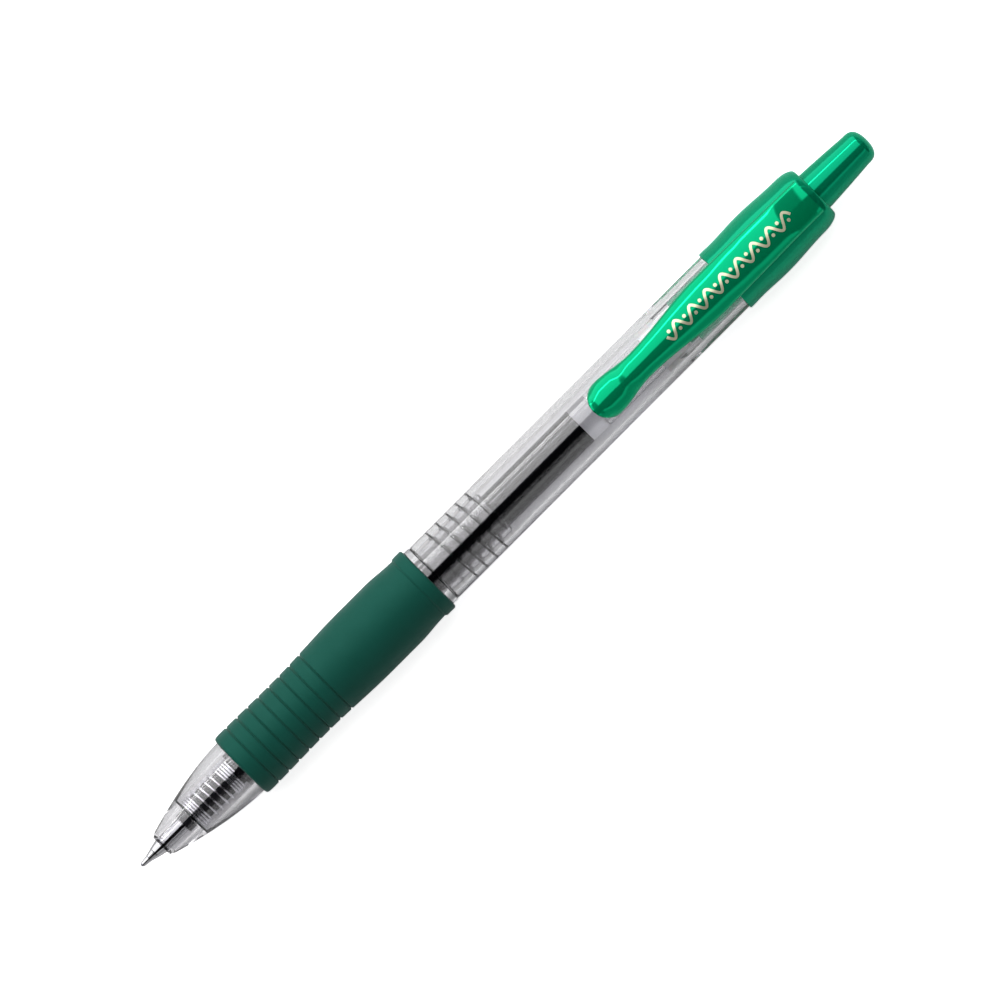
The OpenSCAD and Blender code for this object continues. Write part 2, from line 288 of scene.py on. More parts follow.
def rounded(rows, steps=4):
    """Outline through rows of (station, radius, cut). Each corner becomes a parabola that starts and ends
    cut mm before and after it; a cut of 0 keeps the corner sharp."""
    rows = np.array(rows, float)
    corner, cut = rows[:, :2], rows[:, 2:]
    before = np.vstack([corner[:1], corner[:-1]]) - corner
    after = np.vstack([corner[1:], corner[-1:]]) - corner
    unit = [d / np.maximum(np.linalg.norm(d, axis=1, keepdims=True), 1e-9) for d in (before, after)]
    start = corner + unit[0] * cut
    end = corner + unit[1] * cut
    t = np.linspace(0, 1, steps + 1)[None, :, None]
    arcs = (1 - t) ** 2 * start[:, None] + 2 * t * (1 - t) * corner[:, None] + t ** 2 * end[:, None]
    outline = arcs.reshape(-1, 2)
    keep = np.append(True, np.linalg.norm(np.diff(outline, axis=0), axis=1) > 1e-6)
    return outline[keep]


def line(s0, s1, radius, count):
    """Rows (s, radius(s), 0) at even steps from s0 to s1."""
    s = np.linspace(s0, s1, count)
    return np.stack([s, radius(s), np.zeros(count)], axis=1).tolist()


def revolve(name, outline, angles=96, shape=None, closed=True, crease=35):
    """Carries an outline of (station, radius) round the pen's axis. shape(s, r, a) may move the points."""
    a = np.linspace(0, TAU, angles, endpoint=False) if np.isscalar(angles) else np.asarray(angles)
    s, a = np.meshgrid(outline[:, 0], a, indexing="ij")
    r = np.repeat(outline[:, 1:2], a.shape[1], axis=1)
    if shape:
        s, r = shape(s, r, a)
    return skin(name, to_world(s, r, a), closed, crease)


def through(keys, s):
    """Value at s of a line through keys (s, value): half a cosine wave from each key to the next."""
    keys = np.array(keys, float)
    s = np.clip(s, keys[0, 0], keys[-1, 0])
    i = np.clip(np.searchsorted(keys[:, 0], s, side="right") - 1, 0, len(keys) - 2)
    t = (s - keys[i, 0]) / (keys[i + 1, 0] - keys[i, 0])
    return keys[i, 1] + (keys[i + 1, 1] - keys[i, 1]) * (1 - np.cos(np.pi * t)) / 2


def bent(keys, s, soft):
    """Value at s of straight runs through keys (s, value), their bends rounded over soft mm each way."""
    keys = np.array(keys, float)
    shifts = np.linspace(-soft, soft, 15)
    return np.mean([np.interp(s + shift, keys[:, 0], keys[:, 1]) for shift in shifts], axis=0)


def smooth(t):
    """0 below 0, 1 above 1, and between them three times the square less twice the cube."""
    t = np.clip(t, 0, 1)
    return t * t * (3 - 2 * t)


# ---- materials

def grain_group():
    """Group: fine moulded grain. Height is noise at the given scale; Roughness swings between two values
    with a slower noise, as a handled surface does."""
    group = bpy.data.node_groups.new("moulded_grain", "ShaderNodeTree")
    for label in ("Scale", "Smooth", "Dull"):
        group.interface.new_socket(label, in_out="INPUT", socket_type="NodeSocketFloat")
    group.interface.new_socket("Vector", in_out="INPUT", socket_type="NodeSocketVector")
    for label in ("Height", "Roughness"):
        group.interface.new_socket(label, in_out="OUTPUT", socket_type="NodeSocketFloat")
    nodes, links = group.nodes, group.links
    enter = nodes.new("NodeGroupInput")
    leave = nodes.new("NodeGroupOutput")
    fine = nodes.new("ShaderNodeTexNoise")
    fine.inputs["Detail"].default_value = 3
    slow = nodes.new("ShaderNodeTexNoise")
    slow.inputs["Scale"].default_value = 260
    slow.inputs["Detail"].default_value = 4
    swing = nodes.new("ShaderNodeMapRange")
    swing.inputs["From Min"].default_value = 0.35
    swing.inputs["From Max"].default_value = 0.65
    links.new(enter.outputs["Scale"], fine.inputs["Scale"])
    links.new(enter.outputs["Vector"], fine.inputs["Vector"])
    links.new(enter.outputs["Vector"], slow.inputs["Vector"])
    links.new(slow.outputs["Fac"], swing.inputs["Value"])
    links.new(enter.outputs["Smooth"], swing.inputs["To Min"])
    links.new(enter.outputs["Dull"], swing.inputs["To Max"])
    links.new(fine.outputs["Fac"], leave.inputs["Height"])
    links.new(swing.outputs["Result"], leave.inputs["Roughness"])
    return group


def drift_group():
    """Group: a colour that drifts by a few per cent in slow clouds, as dyed plastic does."""
    group = bpy.data.node_groups.new("colour_drift", "ShaderNodeTree")
    for label in ("Color", "Deep"):
        group.interface.new_socket(label, in_out="INPUT", socket_type="NodeSocketColor")
    group.interface.new_socket("Vector", in_out="INPUT", socket_type="NodeSocketVector")
    group.interface.new_socket("Scale", in_out="INPUT", socket_type="NodeSocketFloat").default_value = 180
    group.interface.new_socket("Color", in_out="OUTPUT", socket_type="NodeSocketColor")
    nodes, links = group.nodes, group.links
    enter = nodes.new("NodeGroupInput")
    leave = nodes.new("NodeGroupOutput")
    clouds = nodes.new("ShaderNodeTexNoise")
    clouds.inputs["Detail"].default_value = 2
    mix = nodes.new("ShaderNodeMix")
    mix.data_type = "RGBA"
    links.new(enter.outputs["Scale"], clouds.inputs["Scale"])
    links.new(enter.outputs["Vector"], clouds.inputs["Vector"])
    links.new(clouds.outputs["Fac"], mix.inputs["Factor"])
    links.new(enter.outputs["Color"], mix.inputs["A"])
    links.new(enter.outputs["Deep"], mix.inputs["B"])
    links.new(mix.outputs["Result"], leave.inputs["Color"])
    return group


GRAIN = grain_group()
DRIFT = drift_group()


def finish(name, color, deep=None, smooth_to_dull=(0.1, 0.2), grain=2000, relief=0.0, squeeze=(1, 1, 1),
           **sockets):
    """A material whose colour drifts between color and deep, whose roughness swings between the two values
    of smooth_to_dull, and whose surface has a fine relief in micrometres. squeeze packs or stretches the
    pattern along an axis. Other values are set on the shader's own sockets."""
    material = bpy.data.materials.new(name)
    material.use_nodes = True
    nodes, links = material.node_tree.nodes, material.node_tree.links
    shader = nodes["Principled BSDF"]
    where = nodes.new("ShaderNodeTexCoord")
    stretch = nodes.new("ShaderNodeMapping")
    stretch.inputs["Scale"].default_value = squeeze
    links.new(where.outputs["Object"], stretch.inputs["Vector"])
    surface = nodes.new("ShaderNodeGroup")
    surface.node_tree = GRAIN
    surface.inputs["Scale"].default_value = grain
    surface.inputs["Smooth"].default_value = smooth_to_dull[0]
    surface.inputs["Dull"].default_value = smooth_to_dull[1]
    links.new(stretch.outputs["Vector"], surface.inputs["Vector"])
    links.new(surface.outputs["Roughness"], shader.inputs["Roughness"])
    if relief:
        bump = nodes.new("ShaderNodeBump")
        bump.inputs["Distance"].default_value = relief * 1e-6
        links.new(surface.outputs["Height"], bump.inputs["Height"])
        links.new(bump.outputs["Normal"], shader.inputs["Normal"])
    if deep:
        clouds = nodes.new("ShaderNodeGroup")
        clouds.node_tree = DRIFT
        clouds.inputs["Color"].default_value = (*color, 1)
        clouds.inputs["Deep"].default_value = (*deep, 1)
        links.new(stretch.outputs["Vector"], clouds.inputs["Vector"])
        links.new(clouds.outputs["Color"], shader.inputs["Base Color"])
    else:
        shader.inputs["Base Color"].default_value = (*color, 1)
    for label, value in sockets.items():
        shader.inputs[label.replace("_", " ")].default_value = value
    return material


# Painted shade: a dark base colour laid along the joint's thread in the clear barrels. It stands in for the
# dark lines that the thread's steep flanks make by turning light away.
THREAD_PAINTED_SHADE = (0.03, 0.03, 0.034, 1)


def clear(name, color, passing, thread_shade_painted=False, **others):
    """A see-through plastic. Light on its way to and from what lies inside goes straight through it, dimmed
    to passing; what the eye sees through it is bent as usual. On a piece with a thread, an attribute paints
    dark shade into the base colour along the thread. The shade stands in for the dark lines that the
    thread's steep flanks make by turning light away."""
    material = finish(name, color, Transmission_Weight=1.0, **others)
    nodes, links = material.node_tree.nodes, material.node_tree.links
    shader = nodes["Principled BSDF"]
    out = nodes["Material Output"]
    ray = nodes.new("ShaderNodeLightPath")
    through_it = nodes.new("ShaderNodeBsdfTransparent")
    through_it.inputs["Color"].default_value = (*passing, 1)
    shadow = nodes.new("ShaderNodeMixShader")
    bounce = nodes.new("ShaderNodeMixShader")
    links.new(ray.outputs["Is Shadow Ray"], shadow.inputs["Fac"])
    links.new(shader.outputs["BSDF"], shadow.inputs[1])
    links.new(through_it.outputs["BSDF"], shadow.inputs[2])
    links.new(ray.outputs["Is Diffuse Ray"], bounce.inputs["Fac"])
    links.new(shadow.outputs["Shader"], bounce.inputs[1])
    links.new(through_it.outputs["BSDF"], bounce.inputs[2])
    links.new(bounce.outputs["Shader"], out.inputs["Surface"])
    # painted shade along the thread: the attribute mixes the dark base colour in
    if thread_shade_painted:
        thread_shade_mask = nodes.new("ShaderNodeAttribute")
        thread_shade_mask.attribute_name = "thread_painted_shade"
        painted_shade_mix = nodes.new("ShaderNodeMix")
        painted_shade_mix.data_type = "RGBA"
        painted_shade_mix.inputs["A"].default_value = (*color, 1)
        painted_shade_mix.inputs["B"].default_value = THREAD_PAINTED_SHADE
        links.new(thread_shade_mask.outputs["Fac"], painted_shade_mix.inputs["Factor"])
        links.new(painted_shade_mix.outputs["Result"], shader.inputs["Base Color"])
    return material


GREEN_TINT = (0.12, 1.0, 0.85, 1)
MATERIALS = {
    # both barrel plastics paint shade along the joint's thread
    "clear_plastic": clear("barrel_clear_plastic", (0.865, 0.862, 0.875), (0.88, 0.88, 0.9),
                           smooth_to_dull=(0.0, 0.012), grain=900, IOR=1.56, thread_shade_painted=True),
    "clear_nose": clear("nose_clear_plastic", (0.82, 0.812, 0.832), (0.86, 0.86, 0.88),
                        smooth_to_dull=(0.0, 0.015), grain=900, IOR=1.56, thread_shade_painted=True),
    "tube_plastic": clear("ink_tube_plastic", (0.95, 0.95, 0.96), (0.92, 0.92, 0.93),
                          smooth_to_dull=(0.0, 0.03), grain=1200, IOR=1.49),
    "follower_grease": clear("follower_grease", (0.86, 0.86, 0.86), (0.8, 0.8, 0.8),
                             smooth_to_dull=(0.25, 0.4), grain=1500, relief=4, IOR=1.46),
    "green_rubber": finish("grip_rubber", (0.0075, 0.074, 0.055), (0.006, 0.063, 0.046),
                           smooth_to_dull=(0.42, 0.55), grain=6500, relief=6, Specular_IOR_Level=0.1,
                           Specular_Tint=(0.4, 1.0, 0.85, 1), Sheen_Weight=0.1, Sheen_Roughness=0.4),
    "green_plastic": finish("clip_green_plastic", (0.0, 0.335, 0.138), (0.0, 0.315, 0.127),
                            smooth_to_dull=(0.05, 0.09), grain=1600, relief=0.5, Metallic=0.55,
                            Specular_IOR_Level=0.45, Specular_Tint=GREEN_TINT),
    "green_cap": finish("cap_green_plastic", (0.0, 0.275, 0.128), (0.0, 0.255, 0.117),
                        smooth_to_dull=(0.05, 0.09), grain=1600, relief=0.5, Metallic=0.54,
                        Specular_IOR_Level=0.45, Specular_Tint=GREEN_TINT),
    "natural_plastic": finish("rotor_natural_plastic", (0.85, 0.86, 0.85), (0.78, 0.79, 0.79),
                              smooth_to_dull=(0.2, 0.35), grain=2600, relief=3, Subsurface_Weight=0.3,
                              Subsurface_Scale=0.001),
    "spring_steel": finish("spring_steel", (0.82, 0.82, 0.85), (0.72, 0.72, 0.75),
                           smooth_to_dull=(0.12, 0.24), grain=9000, relief=2, Metallic=1.0),
    "black_ink": finish("black_ink", (0.001, 0.001, 0.0016), (0.002, 0.002, 0.003),
                        smooth_to_dull=(0.04, 0.1), grain=800, relief=0.5, IOR=1.4),
    "smoke_plastic": finish("holder_black_plastic", (0.008, 0.008, 0.01), (0.014, 0.014, 0.016),
                            smooth_to_dull=(0.12, 0.22), grain=3000, relief=2, Specular_IOR_Level=0.32),
    "point_metal": finish("point_turned_metal", (0.45, 0.45, 0.46), (0.38, 0.38, 0.4),
                          smooth_to_dull=(0.05, 0.1), grain=5200, relief=1.2, squeeze=(3, 0.25, 0.25),
                          Metallic=1.0),
    "ball_metal": finish("ball_carbide", (0.45, 0.45, 0.48), (0.35, 0.35, 0.38), smooth_to_dull=(0.08, 0.2),
                         grain=9000, relief=1, Metallic=1.0),
    "foil": finish("clip_pale_gold_foil", (0.8, 0.77, 0.56), (0.7, 0.66, 0.44), smooth_to_dull=(0.3, 0.42),
                   grain=5200, relief=3, Metallic=0.75),
}


def dress(piece, slot, body=None, nodes=(), look=None):
    """Gives a piece its material, picked by look or else by slot, and its body, and hides the imported nodes
    it stands for.
    """
    piece.data.materials.clear()
    piece.data.materials.append(MATERIALS[look or slot])
    if body:
        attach(piece, body)
    if nodes:
        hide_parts(*nodes)
    return piece


# ---- clear front barrel

def nose_radius(s):
    """Radius of the nose: the rear radius less a power of the distance from the grip."""
    share = (GRIP_S - s) / (GRIP_S - MOUTH_S)
    return NOSE_REAR_R - (NOSE_REAR_R - NOSE_FRONT_R) * share ** NOSE_POWER


def crest(s, a, phase):
    """A narrow helix that moves on by one pitch a turn: 1 on its crest, 0 away from it."""
    turns = (s - THREAD_S) / THREAD_PITCH - a / TAU + phase
    off = np.abs((turns + 0.5) % 1 - 0.5)
    return smooth((CREST_HALF - off) / CREST_FLANK)


def thread_ends(s):
    """1 along the thread, falling to 0 at both its ends."""
    return smooth((s - THREAD_S) / THREAD_FADE) * smooth((THREAD_END - s) / THREAD_FADE)


def level(radius):
    """A function of the station that gives the same radius everywhere."""
    return lambda s: np.full_like(s, radius)


def paint_thread_shade(piece, inner, outer, phase):
    """Writes the attribute that paints shade on the thread: 1 on the helix's crest between two radii, 0
    elsewhere.
    """
    mesh = piece.data
    points = np.empty(3 * len(mesh.vertices))
    mesh.vertices.foreach_get("co", points)
    x, y, z = points.reshape(-1, 3).T
    s = (x - TIP_X) / MM
    r = np.hypot(y - AXIS_Y, z - AXIS_Z) / MM
    a = np.arctan2(AXIS_Y - y, z - AXIS_Z)
    inside = (r > inner) & (r < outer) & (s > THREAD_S) & (s < THREAD_END)
    thread_shade_layer = mesh.attributes.new("thread_painted_shade", "FLOAT", "POINT")
    thread_shade_layer.data.foreach_set("value", np.where(inside, crest(s, a, phase), 0).astype(np.float32))


def male_thread(s, r, a):
    """Adds a helical ridge to the sleeve's outer face, fading at both ends."""
    on_sleeve = np.abs(r - SLEEVE_R) < 1e-3
    rise = THREAD_RISE * crest(s, a, 0) * thread_ends(s)
    return s, r + np.where(on_sleeve, rise, 0)


front_outline = rounded(
    [[MOUTH_S, MOUTH_R, 0.06], [MOUTH_S, NOSE_RIM_R, 0.05], [MOUTH_S + 0.42, NOSE_FRONT_R, 0.03]]
    + line(MOUTH_S + 0.6, GRIP_S, nose_radius, 40)
    + [[GRIP_S, CORE_R, 0.03], [GRIP_END, CORE_R, 0.03], [GRIP_END, JOINT_COLLAR_R, 0.12],
       [JOINT_S - 0.06, JOINT_COLLAR_R, 0.1], [JOINT_S + 0.3, SLEEVE_R, 0.05]]
    + line(THREAD_S - 1, THREAD_END + 0.1, level(SLEEVE_R), 330)
    + [[SLEEVE_END - 0.3, SLEEVE_R, 0.05], [SLEEVE_END, SLEEVE_R - 0.3, 0.05],
       [SLEEVE_END, REFILL_BORE_R, 0.03], [SEAT_S + 0.3, REFILL_BORE_R, 0.03],
       [SEAT_S, REFILL_BORE_R + 0.3, 0.03], [SEAT_S, NOSE_BORE_R, 0.06],
       [MOUTH_S + LIP_DEPTH, NOSE_BORE_R, 0.06], [MOUTH_S + LIP_DEPTH, MOUTH_R, 0.05]])
front_barrel = revolve("front_barrel_shell", front_outline, 160, male_thread)
# paints shade along the sleeve's thread ridge
paint_thread_shade(front_barrel, SLEEVE_R - 0.02, SLEEVE_R + THREAD_DEPTH, 0)
dress(front_barrel, "clear_plastic", "barrel", ["front_barrel"], look="clear_nose")


# ---- rubber grip
grip_keys = [[20.3, GRIP_R - 0.25], [31, GRIP_R - 0.4], [44, GRIP_R], [49.5, GRIP_R], [54.2, GRIP_R - 0.28]]


def grip_radius(s):
    """The grip's smooth outline less its finger grooves: round-bottomed dips at even steps."""
    nearest = np.clip(np.round((s - GROOVE_S) / GROOVE_PITCH), 0, GROOVES - 1) * GROOVE_PITCH + GROOVE_S
    dip = GROOVE_DEPTH * np.exp(-((s - nearest) / GROOVE_WIDTH) ** 2)
    return through(grip_keys, s) - dip


grip_outline = rounded(
    [[GRIP_S, CORE_R + 0.02, 0.05], [GRIP_S, GRIP_R - 0.3, 0.55]]
    + line(GRIP_S + 1.0, 38, grip_radius, 330) + line(38.3, 54.1, grip_radius, 60)
    + [[54.45, GRIP_R - 0.33, 0.08], [54.7, GRIP_R - 0.09, 0.14], [GRIP_END, GRIP_R - 0.07, 0.4],
       [GRIP_END, CORE_R + 0.02, 0.05]])
grip = revolve("rubber_grip", grip_outline, 128)
dress(grip, "green_rubber", "barrel", ["grip_sleeve"])

# ---- clear rear barrel; two of the angles in each quarter lie just outside a land, so its sides are steep
quarter = np.radians(np.sort(np.append(np.arange(-45, 45, 2.25), [-9.4, 9.4])))
barrel_angles = (np.radians([0, 90, 180, 270])[:, None] + quarter).ravel()


def guide_lands(s, r, a):
    """Four lands in the cam guide: on them the bore steps in, and their fronts slope round the axis."""
    off = (a + np.pi / 4) % (np.pi / 2) - np.pi / 4
    on_land = np.abs(off) <= LAND_HALF * 1.001
    is_land = (r < GUIDE_R - 0.3) & (s > GUIDE_S)
    is_front = (s < LAND_FRONT + 0.6) & is_land
    s = s + np.where(is_front & on_land, LAND_SLOPE * LAND_R * np.sin(off), 0)
    return s, np.where(is_land & ~on_land, GUIDE_R, r)


def female_thread(s, r, a):
    """Cuts a narrow helical groove into the bore, then sets the lands."""
    in_thread = (np.abs(r - FEMALE_R) < 1e-3) & (s > JOINT_S + 0.5)
    depth = GROOVE_CUT * crest(s, a, FEMALE_TURN) * thread_ends(s)
    return guide_lands(s, r + np.where(in_thread, depth, 0), a)


rear_outline = rounded(
    [[JOINT_S + 0.28, FEMALE_R, 0.04], [JOINT_S, BARREL_R, 0.14], [CAP_S, BARREL_R, 0.08],
     [CAP_S, SPIGOT_R, 0.05], [SPIGOT_END - CATCH_LENGTH, SPIGOT_R, 0.05],
     [SPIGOT_END - CATCH_LENGTH, SPIGOT_R + 0.3, 0.08], [SPIGOT_END - 1.4, SPIGOT_R - 0.2, 0.1],
     [SPIGOT_END, SPIGOT_R - 0.2, 0.1], [SPIGOT_END, LAND_R, 0],
     [LAND_FRONT + 0.5, LAND_R, 0], [LAND_FRONT, LAND_R + 0.01, 0], [LAND_FRONT, GUIDE_R, 0],
     [GUIDE_S, GUIDE_R, 0.1], [GUIDE_S - 1.4, BORE_R, 0.3], [SLEEVE_END + 3, BORE_R, 0.5]]
    + line(SLEEVE_END + 0.2, JOINT_S + 0.6, level(FEMALE_R), 330))
rear_barrel = revolve("rear_barrel_shell", rear_outline, barrel_angles, female_thread)
# paints shade along the bore's thread groove
paint_thread_shade(rear_barrel, FEMALE_R - 0.02, FEMALE_R + GROOVE_CUT, FEMALE_TURN)
dress(rear_barrel, "clear_plastic", "barrel", ["rear_barrel"])

# ---- cap
cap_keys = [[115.5, CAP_R - 0.13], [116.8, CAP_R - 0.17], [122, CAP_R], [CAP_ROUND_S, CAP_R - 0.33]]
shoulder = np.linspace(0, np.pi / 2, 14)[1:]
cap_dome = np.stack([CAP_ROUND_S + (CAP_END - CAP_ROUND_S) * np.sin(shoulder),
                     CAP_DOME_R + (CAP_R - 0.33 - CAP_DOME_R) * np.cos(shoulder), 0 * shoulder], axis=1)
cap_outline = rounded(
    [[CAP_S, SPIGOT_R + 0.05, 0.05], [CAP_S, CAP_R - 0.14, 0.14]]
    + line(CAP_S + 0.5, CAP_ROUND_S, lambda s: through(cap_keys, s), 40) + cap_dome.tolist()
    + [[CAP_END, BUTTON_BORE_R, 0.1], [SPIGOT_END + 0.1, BUTTON_BORE_R, 0.05],
       [SPIGOT_END + 0.1, SPIGOT_R + 0.05, 0.05]])
cap = revolve("cap_shell", cap_outline, 128)
dress(cap, "green_plastic", "barrel", ["clip_cap"], look="green_cap")

# ---- clip: a crowned plank from its round end to the cap's rear
top_keys = [[CLIP_S, 6.05], [90.4, 6.66], [93.9, 6.6], [95.9, 7.3], [100, 7.6], [110, CLIP_TOP - 0.03],
            [CLIP_ROOT_S, CLIP_TOP - 0.06], [125.5, 7.45], [130.3, 5.8], [CLIP_END, 5.65]]
under_keys = [[CLIP_S, 5.85], [90.6, 5.4], [92.8, 4.9], [95.4, 5.75], [108, 6.45], [FLEX_S - 2, 6.5],
              [119.5, 4.6], [CLIP_END, 4.3]]
crown_keys = [[91, 3.4], [93, 3.4], [98, 3.0], [112, 4.7], [118, 5.4]]
width_keys = [[CLIP_S + PADDLE_R, PADDLE_R], [98, NECK_W], [112, CLIP_W], [CLIP_END, CLIP_W - 0.2]]


def clip_width(s):
    """Half width of the clip: a circle to the paddle's middle, then a smooth waist, then a wider rear."""
    behind = np.clip(s - CLIP_S, 0, PADDLE_R) - PADDLE_R
    paddle = np.sqrt(np.maximum(PADDLE_R ** 2 - behind ** 2, 0))
    return np.where(s < CLIP_S + PADDLE_R, paddle, through(width_keys, s))


def clip_crown(s, y):
    """How far the clip's top falls away at y mm from its middle line: an arc, rounder at the narrow end."""
    bend = through(crown_keys, s)
    return bend - np.sqrt(bend ** 2 - y ** 2)


def clip_top(s, y):
    """Height of the clip's top over the axis. The step behind the paddle and the fall to the rear are
    arched: they come a little later away from the middle line."""
    arch = np.where(s < STEP_END_S, STEP_ARCH, FALL_ARCH) * smooth(np.abs(s - ARCH_MIDDLE_S) / ARCH_REACH)
    return bent(top_keys, s - arch * y ** 2, 0.6) - clip_crown(s, y)


def clip_grid():
    """Rings round the clip's section. The section runs over the crowned top, down a rounded edge and back
    along the underside; a ring's place along the clip is packed closer at both ends."""
    packed = (1 - np.cos(np.linspace(0, np.pi, 150))) / 2
    share = 0.5 * packed + 0.5 * np.linspace(0, 1, 150)
    s = (CLIP_S + (CLIP_END - CLIP_S) * share)[:, None]
    w = clip_width(s)
    over = np.sin(np.linspace(-1, 1, 33)[None, :] * np.pi / 2)
    y_top = over * w
    fall = np.clip(np.abs(over) * w - (w - CLIP_EDGE), 0, CLIP_EDGE) ** 2 / CLIP_EDGE
    x_top = clip_top(s, y_top) - fall
    x_under = through(under_keys, s) - 0.6 * clip_crown(s, y_top)
    low = np.minimum(x_under, x_top - CLIP_LEAST)
    side_in = 0.1 * np.clip(1 - np.abs(over), 0, 1)
    y_low = over * (w - 0.05) * (1 - side_in)
    ring_y = np.concatenate([y_top, y_low[:, ::-1]], axis=1)
    ring_x = np.concatenate([x_top, low[:, ::-1]], axis=1)
    first = place(s[:1] + 0 * ring_y[:1], 0 * ring_y[:1], 0 * ring_x[:1] + ring_x[0].mean())
    last = place(s[-1:] + 0 * ring_y[-1:], 0 * ring_y[-1:], 0 * ring_x[-1:] + ring_x[-1].mean())
    return np.concatenate([first, place(s, ring_y, ring_x), last], axis=0)


clip = skin("clip_plank", clip_grid(), crease=50)
dress(clip, "green_plastic", nodes=["clip_arm"])
BEND = {"start": place(CLIP_ROOT_S, 0, CLIP_TOP).tolist(), "end": place(CLIP_FREE_S, 0, CLIP_TOP).tolist()}
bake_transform(clip)


# ---- foil ornament on the clip: a wave with a dot in every bend
def on_clip(s, y, lift):
    """World points lift mm above the clip's top."""
    return place(s, y, clip_top(s, y) + lift)


def foil_patch(name, s, y):
    """A thin closed leaf on the clip from a grid of stations and offsets: its top and its underside."""
    upper, lower = on_clip(s, y, FOIL_LIFT), on_clip(s, y, -FOIL_SINK)
    grid = np.concatenate([upper, lower[:, ::-1]], axis=1)
    first = np.repeat(grid[:1].mean(axis=1, keepdims=True), grid.shape[1], axis=1)
    last = np.repeat(grid[-1:].mean(axis=1, keepdims=True), grid.shape[1], axis=1)
    return skin(name, np.concatenate([first, grid, last], axis=0), crease=40)


def foil_wave():
    """A sine wave along the clip, drawn as a band of even width: its points lie off the wave's middle line
    along the line's normal."""
    share = np.linspace(0, 1, 400)[:, None]
    phase = TAU * WAVES * share
    slope = SWING * TAU * WAVES / (ORNAMENT_END - ORNAMENT_S) * np.cos(phase)
    stretch = np.sqrt(1 + slope ** 2)
    across = np.linspace(-STROKE, STROKE, 5)[None, :]
    s = ORNAMENT_S + (ORNAMENT_END - ORNAMENT_S) * share - across * slope / stretch
    return foil_patch("foil_wave", s, SWING * np.sin(phase) + across / stretch)


def foil_dot(bend):
    """A round dot in one bend of the wave, on the other side of the middle line from the wave."""
    middle_s = ORNAMENT_S + (ORNAMENT_END - ORNAMENT_S) * (bend + 0.5) / (2 * WAVES)
    side = -1 if bend % 2 == 0 else 1
    u = np.linspace(-np.pi / 2, np.pi / 2, 15)[:, None]
    v = np.linspace(-1, 1, 9)[None, :]
    s = middle_s + DOT_R * np.sin(u) + 0 * v
    return foil_patch(f"foil_dot_{bend}", s, side * DOT_OFFSET + DOT_R * np.cos(u) * v)


pieces = [foil_wave()] + [foil_dot(bend) for bend in range(2 * WAVES)]
bpy.ops.object.select_all(action="DESELECT")
for piece in pieces:
    piece.select_set(True)
bpy.context.view_layer.objects.active = pieces[0]
bpy.ops.object.join()
foil = pieces[0]
foil.name = "clip_foil_wave"
dress(foil, "green_plastic", look="foil")
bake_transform(foil)

# ---- push button
down = np.linspace(0.05, 1, 14)
taper = np.stack([CAP_END + 0.2 + (DOME_S - CAP_END - 0.2) * down,
                  STEM_R - (STEM_R - DOME_R) * down ** 1.2, 0 * down], axis=1)
over = 1 - (1 - np.linspace(0, 1, 22)[1:]) ** 2
button_dome = np.stack([DOME_S + (PEN_END - DOME_S) * over,
                        DOME_R * (1 - over ** 3.5) ** (1 / 2.2), 0 * over], axis=1)


def button_keys(s, r, a):
    """Four keys that stand out from the stem into the slots, midway between the guide's lands."""
    off = (a % (np.pi / 2)) - np.pi / 4
    proud = (r > SKIRT_R - 0.2) & (s > SKIRT_S - 0.01)
    on_key = (np.abs(off) < KEY_HALF) & (s < KEY_END + 0.01)
    return s, np.where(proud & ~on_key, STEM_R, r)


# angles in a quarter, with a close pair at each side of a key
key_turn = np.radians([0, 6, 10.6, 11.4, 20, 30, 45, 60, 70, 78.6, 79.4, 84])
button_angles = (np.radians([0, 90, 180, 270])[:, None] + key_turn).ravel()
button_outside = rounded(
    [[FOOT_S, STEM_BORE_R, 0], [FOOT_S, FOOT_R, 0.05], [SKIRT_S, FOOT_R, 0.05], [SKIRT_S, SKIRT_R, 0.05],
     [KEY_END, SKIRT_R, 0.05], [KEY_END, STEM_R, 0.05], [CAP_END, STEM_R, 0]]
    + taper.tolist() + button_dome.tolist())
button_outside[-1, 1] = 0
button_inside = rounded([[DOME_S - 1, 0, 0], [DOME_S - 1, STEM_BORE_R, 0.2], [FOOT_S, STEM_BORE_R, 0]])
button = revolve("button_stem", np.vstack([button_outside, button_inside]), button_angles, button_keys)
dress(button, "green_plastic", "button", ["push_button"], look="green_cap")

# ---- spring
spring_s0 = SEAT_S + WIRE_R + COIL_GAP
spring_s1 = TUBE_S - WIRE_R - COIL_GAP
closed_pitch = 2 * WIRE_R + 0.04
open_pitch = (spring_s1 - spring_s0 - 2 * CLOSED_TURNS * closed_pitch) / OPEN_TURNS


def coil_station(turns):
    """Station of the wire after so many turns: close coils, open coils, close coils."""
    return (spring_s0 + closed_pitch * np.minimum(turns, CLOSED_TURNS)
            + open_pitch * np.clip(turns - CLOSED_TURNS, 0, OPEN_TURNS)
            + closed_pitch * np.maximum(turns - CLOSED_TURNS - OPEN_TURNS, 0))


all_turns = 2 * CLOSED_TURNS + OPEN_TURNS
turns = np.linspace(0, all_turns, all_turns * STEPS_A_TURN + 1)[:, None]
round_wire = np.linspace(0, TAU, WIRE_SIDES, endpoint=False)[None, :]
coil = to_world(coil_station(turns) + WIRE_R * np.sin(round_wire), COIL_R + WIRE_R * np.cos(round_wire),
                TAU * turns)
front_end, rear_end = (np.repeat(coil[[k]].mean(axis=1, keepdims=True), WIRE_SIDES, axis=1) for k in (0, -1))
spring = skin("spring_coil", np.concatenate([front_end, coil, rear_end], axis=0), crease=60)
dress(spring, "spring_steel", nodes=["return_spring"])
place(spring_s0, 0, 0).tolist()
place(spring_s1, 0, 0).tolist()
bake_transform(spring)

